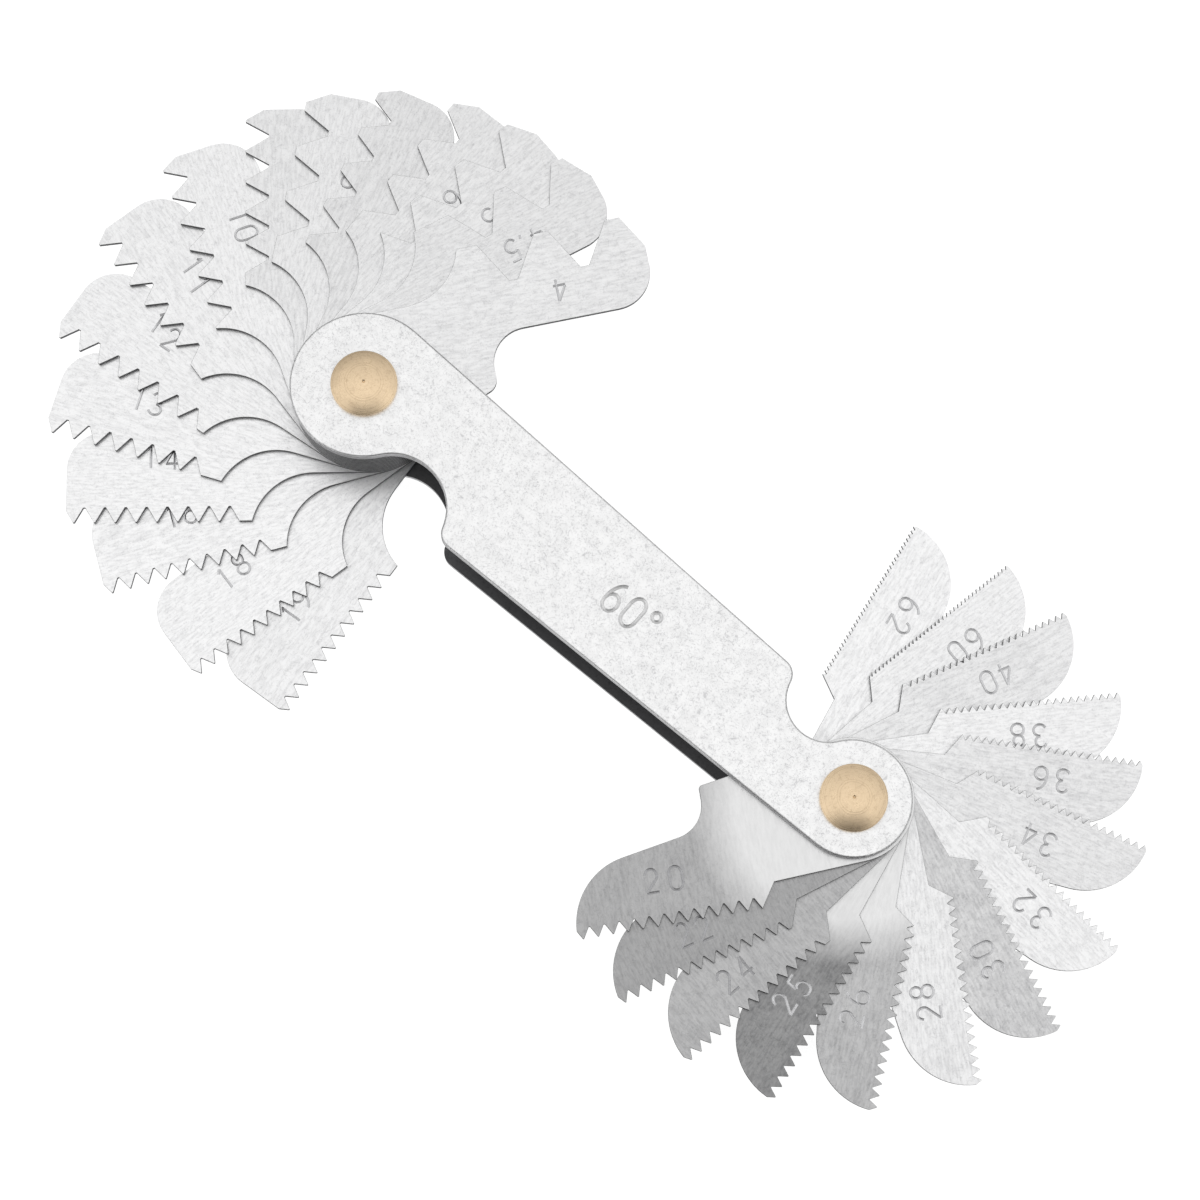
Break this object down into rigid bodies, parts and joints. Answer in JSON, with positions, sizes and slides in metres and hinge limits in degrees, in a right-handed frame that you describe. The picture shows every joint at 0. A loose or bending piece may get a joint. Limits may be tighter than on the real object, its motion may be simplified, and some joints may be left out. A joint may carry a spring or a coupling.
{
  "type": "thread pitch gauge",
  "caption": "Pocket gauge with fans of toothed steel leaves turning on two rivets between two S-shaped side plates; each leaf matches one screw thread pitch.",
  "frame": {"origin": "midway between the two rivet axes, on the outer flat face of the back plate", "axes": "+X from the coarse leaves' rivet to the fine leaves' rivet, +Z out of the front plate along the rivets"},
  "size_m": [0.1083, 0.0554, 0.0096],
  "materials": {
    "case_steel": "satin",
    "blade_steel": "satin",
    "rivet_brass": "satin"
  },
  "bodies": {
    "case": {"front_plate": "case_steel", "back_plate": "case_steel", "coarse_rivet": "rivet_brass", "fine_rivet": "rivet_brass"},
    "blade_4": {"blade_4_tpi": "blade_steel"},
    "blade_4_half": {"blade_4_half_tpi": "blade_steel"},
    "blade_5": {"blade_5_tpi": "blade_steel"},
    "blade_6": {"blade_6_tpi": "blade_steel"},
    "blade_7": {"blade_7_tpi": "blade_steel"},
    "blade_6_second": {"blade_6_tpi_second": "blade_steel"},
    "blade_9": {"blade_9_tpi": "blade_steel"},
    "blade_10": {"blade_10_tpi": "blade_steel"},
    "blade_11": {"blade_11_tpi": "blade_steel"},
    "blade_12": {"blade_12_tpi": "blade_steel"},
    "blade_13": {"blade_13_tpi": "blade_steel"},
    "blade_14": {"blade_14_tpi": "blade_steel"},
    "blade_16": {"blade_16_tpi": "blade_steel"},
    "blade_18": {"blade_18_tpi": "blade_steel"},
    "blade_19": {"blade_19_tpi": "blade_steel"},
    "blade_20": {"blade_20_tpi": "blade_steel"},
    "blade_22": {"blade_22_tpi": "blade_steel"},
    "blade_24": {"blade_24_tpi": "blade_steel"},
    "blade_25": {"blade_25_tpi": "blade_steel"},
    "blade_26": {"blade_26_tpi": "blade_steel"},
    "blade_28": {"blade_28_tpi": "blade_steel"},
    "blade_30": {"blade_30_tpi": "blade_steel"},
    "blade_32": {"blade_32_tpi": "blade_steel"},
    "blade_34": {"blade_34_tpi": "blade_steel"},
    "blade_36": {"blade_36_tpi": "blade_steel"},
    "blade_38": {"blade_38_tpi": "blade_steel"},
    "blade_40": {"blade_40_tpi": "blade_steel"},
    "blade_60": {"blade_60_tpi": "blade_steel"},
    "blade_62": {"blade_62_tpi": "blade_steel"}
  },
  "joints": [
    {"name": "blade_4_hinge", "type": "hinge", "parent": "case", "child": "blade_4", "pos_m": [-0.02745, 0, 0.0043], "axis": [0, 0, 1], "range_deg": [-73, 247]},
    {"name": "blade_4_half_hinge", "type": "hinge", "parent": "case", "child": "blade_4_half", "pos_m": [-0.02745, 0, 0.0043], "axis": [0, 0, 1], "range_deg": [-89.1, 230.9]},
    {"name": "blade_5_hinge", "type": "hinge", "parent": "case", "child": "blade_5", "pos_m": [-0.02745, 0, 0.0043], "axis": [0, 0, 1], "range_deg": [-101.6, 218.4]},
    {"name": "blade_6_hinge", "type": "hinge", "parent": "case", "child": "blade_6", "pos_m": [-0.02745, 0, 0.0043], "axis": [0, 0, 1], "range_deg": [-112.8, 207.2]},
    {"name": "blade_7_hinge", "type": "hinge", "parent": "case", "child": "blade_7", "pos_m": [-0.02745, 0, 0.0043], "axis": [0, 0, 1], "range_deg": [-127.1, 192.9]},
    {"name": "blade_6_second_hinge", "type": "hinge", "parent": "case", "child": "blade_6_second", "pos_m": [-0.02745, 0, 0.0043], "axis": [0, 0, 1], "range_deg": [-140.5, 179.5]},
    {"name": "blade_9_hinge", "type": "hinge", "parent": "case", "child": "blade_9", "pos_m": [-0.02745, 0, 0.0043], "axis": [0, 0, 1], "range_deg": [-152.4, 167.6]},
    {"name": "blade_10_hinge", "type": "hinge", "parent": "case", "child": "blade_10", "pos_m": [-0.02745, 0, 0.0043], "axis": [0, 0, 1], "range_deg": [-170.4, 149.6]},
    {"name": "blade_11_hinge", "type": "hinge", "parent": "case", "child": "blade_11", "pos_m": [-0.02745, 0, 0.0043], "axis": [0, 0, 1], "range_deg": [-188.5, 131.5]},
    {"name": "blade_12_hinge", "type": "hinge", "parent": "case", "child": "blade_12", "pos_m": [-0.02745, 0, 0.0043], "axis": [0, 0, 1], "range_deg": [-207.3, 112.7]},
    {"name": "blade_13_hinge", "type": "hinge", "parent": "case", "child": "blade_13", "pos_m": [-0.02745, 0, 0.0043], "axis": [0, 0, 1], "range_deg": [-224.9, 95.1]},
    {"name": "blade_14_hinge", "type": "hinge", "parent": "case", "child": "blade_14", "pos_m": [-0.02745, 0, 0.0043], "axis": [0, 0, 1], "range_deg": [-242.1, 77.9]},
    {"name": "blade_16_hinge", "type": "hinge", "parent": "case", "child": "blade_16", "pos_m": [-0.02745, 0, 0.0043], "axis": [0, 0, 1], "range_deg": [-256.7, 63.3]},
    {"name": "blade_18_hinge", "type": "hinge", "parent": "case", "child": "blade_18", "pos_m": [-0.02745, 0, 0.0043], "axis": [0, 0, 1], "range_deg": [-278.4, 41.6]},
    {"name": "blade_19_hinge", "type": "hinge", "parent": "case", "child": "blade_19", "pos_m": [-0.02745, 0, 0.0043], "axis": [0, 0, 1], "range_deg": [-295.4, 24.6]},
    {"name": "blade_20_hinge", "type": "hinge", "parent": "case", "child": "blade_20", "pos_m": [0.02745, 0, 0.0043], "axis": [0, 0, 1], "range_deg": [-60.4, 259.6]},
    {"name": "blade_22_hinge", "type": "hinge", "parent": "case", "child": "blade_22", "pos_m": [0.02745, 0, 0.0043], "axis": [0, 0, 1], "range_deg": [-74.6, 245.4]},
    {"name": "blade_24_hinge", "type": "hinge", "parent": "case", "child": "blade_24", "pos_m": [0.02745, 0, 0.0043], "axis": [0, 0, 1], "range_deg": [-90.9, 229.1]},
    {"name": "blade_25_hinge", "type": "hinge", "parent": "case", "child": "blade_25", "pos_m": [0.02745, 0, 0.0043], "axis": [0, 0, 1], "range_deg": [-108, 212]},
    {"name": "blade_26_hinge", "type": "hinge", "parent": "case", "child": "blade_26", "pos_m": [0.02745, 0, 0.0043], "axis": [0, 0, 1], "range_deg": [-127.2, 192.8]},
    {"name": "blade_28_hinge", "type": "hinge", "parent": "case", "child": "blade_28", "pos_m": [0.02745, 0, 0.0043], "axis": [0, 0, 1], "range_deg": [-147.8, 172.2]},
    {"name": "blade_30_hinge", "type": "hinge", "parent": "case", "child": "blade_30", "pos_m": [0.02745, 0, 0.0043], "axis": [0, 0, 1], "range_deg": [-166.3, 153.7]},
    {"name": "blade_32_hinge", "type": "hinge", "parent": "case", "child": "blade_32", "pos_m": [0.02745, 0, 0.0043], "axis": [0, 0, 1], "range_deg": [-185.4, 134.6]},
    {"name": "blade_34_hinge", "type": "hinge", "parent": "case", "child": "blade_34", "pos_m": [0.02745, 0, 0.0043], "axis": [0, 0, 1], "range_deg": [-205.5, 114.5]},
    {"name": "blade_36_hinge", "type": "hinge", "parent": "case", "child": "blade_36", "pos_m": [0.02745, 0, 0.0043], "axis": [0, 0, 1], "range_deg": [-222, 98]},
    {"name": "blade_38_hinge", "type": "hinge", "parent": "case", "child": "blade_38", "pos_m": [0.02745, 0, 0.0043], "axis": [0, 0, 1], "range_deg": [-236, 84]},
    {"name": "blade_40_hinge", "type": "hinge", "parent": "case", "child": "blade_40", "pos_m": [0.02745, 0, 0.0043], "axis": [0, 0, 1], "range_deg": [-254.8, 65.2]},
    {"name": "blade_60_hinge", "type": "hinge", "parent": "case", "child": "blade_60", "pos_m": [0.02745, 0, 0.0043], "axis": [0, 0, 1], "range_deg": [-269.2, 50.8]},
    {"name": "blade_62_hinge", "type": "hinge", "parent": "case", "child": "blade_62", "pos_m": [0.02745, 0, 0.0043], "axis": [0, 0, 1], "range_deg": [-288.7, 31.3]}
  ]
}
